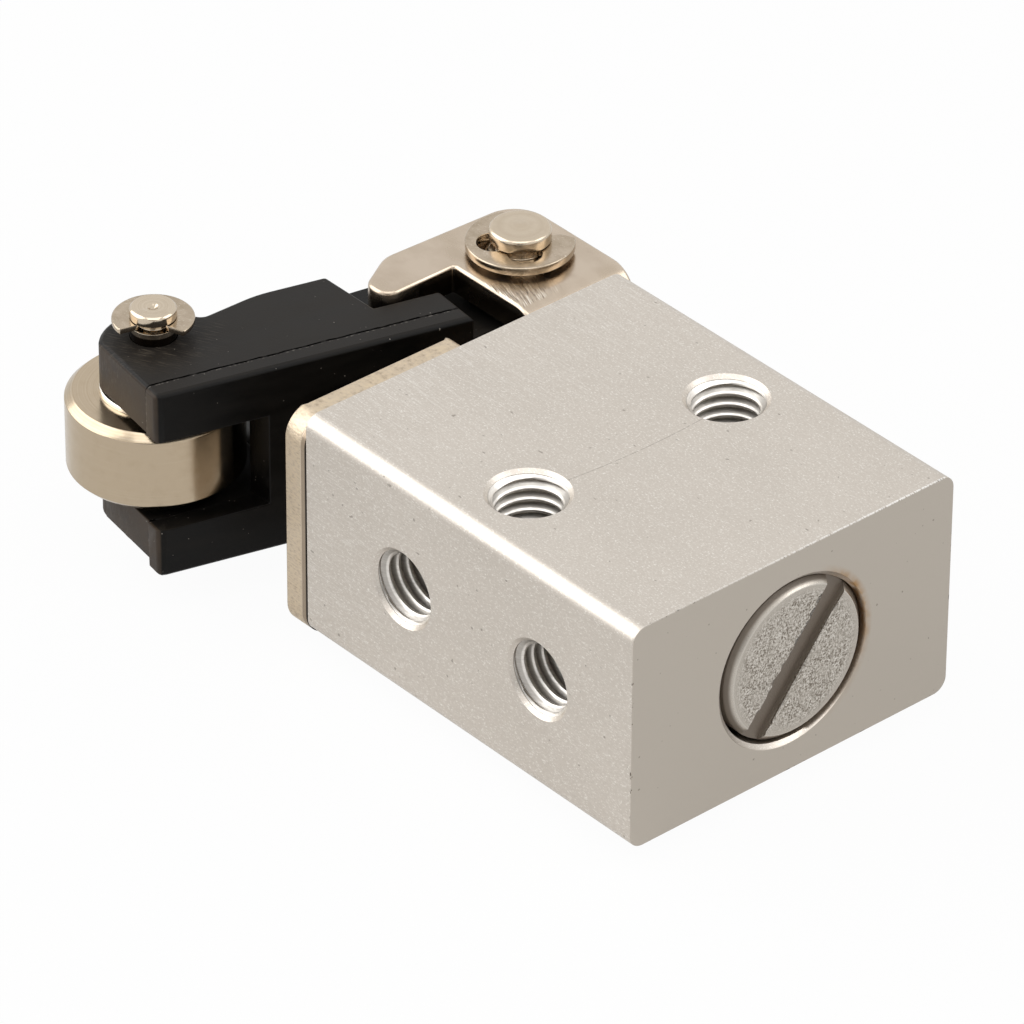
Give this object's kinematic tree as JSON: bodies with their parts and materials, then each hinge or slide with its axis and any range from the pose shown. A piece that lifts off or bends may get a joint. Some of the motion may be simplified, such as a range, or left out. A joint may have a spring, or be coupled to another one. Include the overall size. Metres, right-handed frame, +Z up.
{
  "type": "roller lever air valve",
  "caption": "Miniature mechanical air valve: aluminium block with threaded ports, bent steel bracket, black lever with a steel roller, slotted end plug",
  "frame": {"origin": "centre of the valve body's flat underside", "axes": "+X along the bore from the lever end to the plug end, +Y from the port side to the pivot side, +Z up"},
  "size_m": [0.0507, 0.0328, 0.019],
  "materials": {
    "body_aluminium": "satin, clear anodised, fine brushed grain",
    "plated_steel": "nickel plated sheet and turned parts, warm, semi-bright",
    "plug_metal": "turned, stippled face",
    "black_nylon": "black glass-filled nylon, moulded",
    "brass_inner": "turned, bare",
    "steel_inner": "turned and ground, bare",
    "spring_steel": "drawn wire",
    "seal_rubber": "moulded nitrile rubber"
  },
  "bodies": {
    "valve": {"valve_body": "body_aluminium", "lever_bracket": "plated_steel", "bracket_screws": "plated_steel", "pivot_pin": "plated_steel", "pivot_clip": "plated_steel", "guide_bush": "brass_inner", "front_spacer": "brass_inner", "exhaust_seal": "seal_rubber", "outlet_cage": "brass_inner", "supply_seal": "seal_rubber", "spring_cage": "brass_inner", "end_plug": "plug_metal", "plug_o_ring": "seal_rubber", "return_spring": "spring_steel"},
    "stem": {"plunger": "steel_inner", "spool": "brass_inner", "spring_seat": "steel_inner"},
    "lever_arm": {"lever": "black_nylon", "roller_pin": "plated_steel", "roller_clip": "plated_steel"},
    "wheel": {"roller": "plated_steel"}
  },
  "joints": [
    {"name": "lever_pivot", "type": "hinge", "parent": "valve", "child": "lever_arm", "pos_m": [-0.02167, 0.01008, 0.00795], "axis": [0, 0, 1], "range_deg": [0, 9.5], "stiffness_Nm_per_rad": 0.03, "springref_deg": -17.19},
    {"name": "plunger_slide", "type": "slide", "parent": "valve", "child": "stem", "axis": [1, 0, 0], "range_m": [0, 0.00148], "deforming": ["return_spring"]},
    {"name": "roller_spin", "type": "hinge", "parent": "lever_arm", "child": "wheel", "pos_m": [-0.02994, -0.01298, 0.00795], "axis": [0, 0, 1], "continuous": true}
  ],
  "couplings": [
    {"joint": "plunger_slide", "follows": "lever_pivot", "m_per_rad": 0.0089328}
  ]
}
